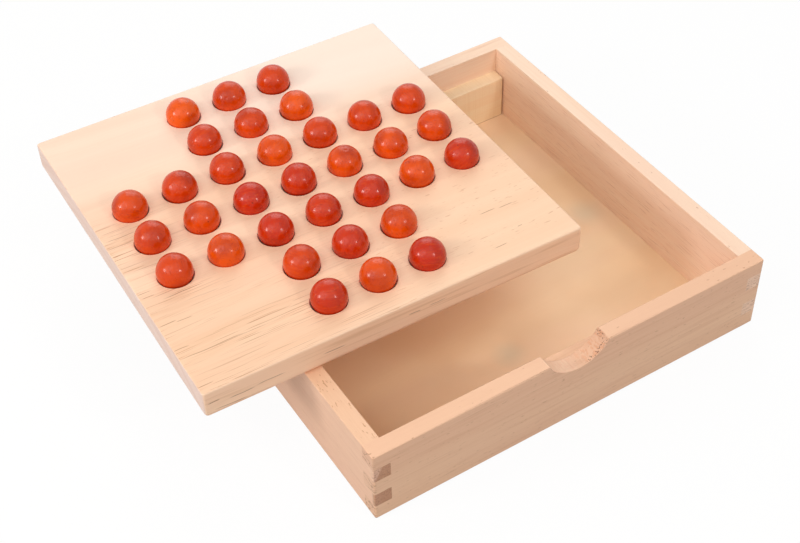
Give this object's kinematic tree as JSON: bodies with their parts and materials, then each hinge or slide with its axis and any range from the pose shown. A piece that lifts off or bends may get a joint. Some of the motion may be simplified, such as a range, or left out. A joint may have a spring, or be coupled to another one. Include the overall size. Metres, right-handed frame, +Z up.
{
  "type": "peg solitaire board",
  "caption": "Wooden solitaire set: a square finger-jointed tray with a finger notch, a socketed game board that is also its lid, and stained wooden balls in a cross.",
  "frame": {"origin": "centre of the tray's underside", "axes": "+X to the right along the notched front wall, +Y to the back wall, +Z up"},
  "size_m": [0.2448, 0.2335, 0.064],
  "materials": {
    "wall_wood": "sanded, unvarnished beech",
    "ledge_wood": "sanded, unvarnished pale hardwood",
    "floor_ply": "smooth thin plywood",
    "board_wood": "sanded, unvarnished pale hardwood with fine dark pores",
    "ball_stain": "red-orange stain under clear gloss varnish"
  },
  "bodies": {
    "tray": {"front_wall": "wall_wood", "back_wall": "wall_wood", "left_wall": "wall_wood", "right_wall": "wall_wood", "floor_panel": "floor_ply", "front_ledge": "ledge_wood", "back_ledge": "ledge_wood"},
    "board": {"game_board": "board_wood"},
    "ball_row1_col3": {"ball_row1_col3": "ball_stain"},
    "ball_row1_col4": {"ball_row1_col4": "ball_stain"},
    "ball_row1_col5": {"ball_row1_col5": "ball_stain"},
    "ball_row2_col3": {"ball_row2_col3": "ball_stain"},
    "ball_row2_col4": {"ball_row2_col4": "ball_stain"},
    "ball_row2_col5": {"ball_row2_col5": "ball_stain"},
    "ball_row3_col1": {"ball_row3_col1": "ball_stain"},
    "ball_row3_col2": {"ball_row3_col2": "ball_stain"},
    "ball_row3_col3": {"ball_row3_col3": "ball_stain"},
    "ball_row3_col4": {"ball_row3_col4": "ball_stain"},
    "ball_row3_col5": {"ball_row3_col5": "ball_stain"},
    "ball_row3_col6": {"ball_row3_col6": "ball_stain"},
    "ball_row3_col7": {"ball_row3_col7": "ball_stain"},
    "ball_row4_col1": {"ball_row4_col1": "ball_stain"},
    "ball_row4_col2": {"ball_row4_col2": "ball_stain"},
    "ball_row4_col3": {"ball_row4_col3": "ball_stain"},
    "ball_row4_col4": {"ball_row4_col4": "ball_stain"},
    "ball_row4_col5": {"ball_row4_col5": "ball_stain"},
    "ball_row4_col6": {"ball_row4_col6": "ball_stain"},
    "ball_row4_col7": {"ball_row4_col7": "ball_stain"},
    "ball_row5_col1": {"ball_row5_col1": "ball_stain"},
    "ball_row5_col2": {"ball_row5_col2": "ball_stain"},
    "ball_row5_col3": {"ball_row5_col3": "ball_stain"},
    "ball_row5_col4": {"ball_row5_col4": "ball_stain"},
    "ball_row5_col5": {"ball_row5_col5": "ball_stain"},
    "ball_row5_col6": {"ball_row5_col6": "ball_stain"},
    "ball_row5_col7": {"ball_row5_col7": "ball_stain"},
    "ball_row6_col3": {"ball_row6_col3": "ball_stain"},
    "ball_row6_col4": {"ball_row6_col4": "ball_stain"},
    "ball_row6_col5": {"ball_row6_col5": "ball_stain"},
    "ball_row7_col3": {"ball_row7_col3": "ball_stain"},
    "ball_row7_col4": {"ball_row7_col4": "ball_stain"},
    "ball_row7_col5": {"ball_row7_col5": "ball_stain"}
  },
  "joints": [
    {"name": "board_lift", "type": "slide", "parent": "tray", "child": "board", "axis": [0, 0, 1], "range_m": [0, 0.06]},
    {"name": "ball_row1_col3_lift", "type": "slide", "parent": "board", "child": "ball_row1_col3", "axis": [0, 0, 1], "range_m": [0, 0.025]},
    {"name": "ball_row1_col4_lift", "type": "slide", "parent": "board", "child": "ball_row1_col4", "axis": [0, 0, 1], "range_m": [0, 0.025]},
    {"name": "ball_row1_col5_lift", "type": "slide", "parent": "board", "child": "ball_row1_col5", "axis": [0, 0, 1], "range_m": [0, 0.025]},
    {"name": "ball_row2_col3_lift", "type": "slide", "parent": "board", "child": "ball_row2_col3", "axis": [0, 0, 1], "range_m": [0, 0.025]},
    {"name": "ball_row2_col4_lift", "type": "slide", "parent": "board", "child": "ball_row2_col4", "axis": [0, 0, 1], "range_m": [0, 0.025]},
    {"name": "ball_row2_col5_lift", "type": "slide", "parent": "board", "child": "ball_row2_col5", "axis": [0, 0, 1], "range_m": [0, 0.025]},
    {"name": "ball_row3_col1_lift", "type": "slide", "parent": "board", "child": "ball_row3_col1", "axis": [0, 0, 1], "range_m": [0, 0.025]},
    {"name": "ball_row3_col2_lift", "type": "slide", "parent": "board", "child": "ball_row3_col2", "axis": [0, 0, 1], "range_m": [0, 0.025]},
    {"name": "ball_row3_col3_lift", "type": "slide", "parent": "board", "child": "ball_row3_col3", "axis": [0, 0, 1], "range_m": [0, 0.025]},
    {"name": "ball_row3_col4_lift", "type": "slide", "parent": "board", "child": "ball_row3_col4", "axis": [0, 0, 1], "range_m": [0, 0.025]},
    {"name": "ball_row3_col5_lift", "type": "slide", "parent": "board", "child": "ball_row3_col5", "axis": [0, 0, 1], "range_m": [0, 0.025]},
    {"name": "ball_row3_col6_lift", "type": "slide", "parent": "board", "child": "ball_row3_col6", "axis": [0, 0, 1], "range_m": [0, 0.025]},
    {"name": "ball_row3_col7_lift", "type": "slide", "parent": "board", "child": "ball_row3_col7", "axis": [0, 0, 1], "range_m": [0, 0.025]},
    {"name": "ball_row4_col1_lift", "type": "slide", "parent": "board", "child": "ball_row4_col1", "axis": [0, 0, 1], "range_m": [0, 0.025]},
    {"name": "ball_row4_col2_lift", "type": "slide", "parent": "board", "child": "ball_row4_col2", "axis": [0, 0, 1], "range_m": [0, 0.025]},
    {"name": "ball_row4_col3_lift", "type": "slide", "parent": "board", "child": "ball_row4_col3", "axis": [0, 0, 1], "range_m": [0, 0.025]},
    {"name": "ball_row4_col4_lift", "type": "slide", "parent": "board", "child": "ball_row4_col4", "axis": [0, 0, 1], "range_m": [0, 0.025]},
    {"name": "ball_row4_col5_lift", "type": "slide", "parent": "board", "child": "ball_row4_col5", "axis": [0, 0, 1], "range_m": [0, 0.025]},
    {"name": "ball_row4_col6_lift", "type": "slide", "parent": "board", "child": "ball_row4_col6", "axis": [0, 0, 1], "range_m": [0, 0.025]},
    {"name": "ball_row4_col7_lift", "type": "slide", "parent": "board", "child": "ball_row4_col7", "axis": [0, 0, 1], "range_m": [0, 0.025]},
    {"name": "ball_row5_col1_lift", "type": "slide", "parent": "board", "child": "ball_row5_col1", "axis": [0, 0, 1], "range_m": [0, 0.025]},
    {"name": "ball_row5_col2_lift", "type": "slide", "parent": "board", "child": "ball_row5_col2", "axis": [0, 0, 1], "range_m": [0, 0.025]},
    {"name": "ball_row5_col3_lift", "type": "slide", "parent": "board", "child": "ball_row5_col3", "axis": [0, 0, 1], "range_m": [0, 0.025]},
    {"name": "ball_row5_col4_lift", "type": "slide", "parent": "board", "child": "ball_row5_col4", "axis": [0, 0, 1], "range_m": [0, 0.025]},
    {"name": "ball_row5_col5_lift", "type": "slide", "parent": "board", "child": "ball_row5_col5", "axis": [0, 0, 1], "range_m": [0, 0.025]},
    {"name": "ball_row5_col6_lift", "type": "slide", "parent": "board", "child": "ball_row5_col6", "axis": [0, 0, 1], "range_m": [0, 0.025]},
    {"name": "ball_row5_col7_lift", "type": "slide", "parent": "board", "child": "ball_row5_col7", "axis": [0, 0, 1], "range_m": [0, 0.025]},
    {"name": "ball_row6_col3_lift", "type": "slide", "parent": "board", "child": "ball_row6_col3", "axis": [0, 0, 1], "range_m": [0, 0.025]},
    {"name": "ball_row6_col4_lift", "type": "slide", "parent": "board", "child": "ball_row6_col4", "axis": [0, 0, 1], "range_m": [0, 0.025]},
    {"name": "ball_row6_col5_lift", "type": "slide", "parent": "board", "child": "ball_row6_col5", "axis": [0, 0, 1], "range_m": [0, 0.025]},
    {"name": "ball_row7_col3_lift", "type": "slide", "parent": "board", "child": "ball_row7_col3", "axis": [0, 0, 1], "range_m": [0, 0.025]},
    {"name": "ball_row7_col4_lift", "type": "slide", "parent": "board", "child": "ball_row7_col4", "axis": [0, 0, 1], "range_m": [0, 0.025]},
    {"name": "ball_row7_col5_lift", "type": "slide", "parent": "board", "child": "ball_row7_col5", "axis": [0, 0, 1], "range_m": [0, 0.025]}
  ]
}
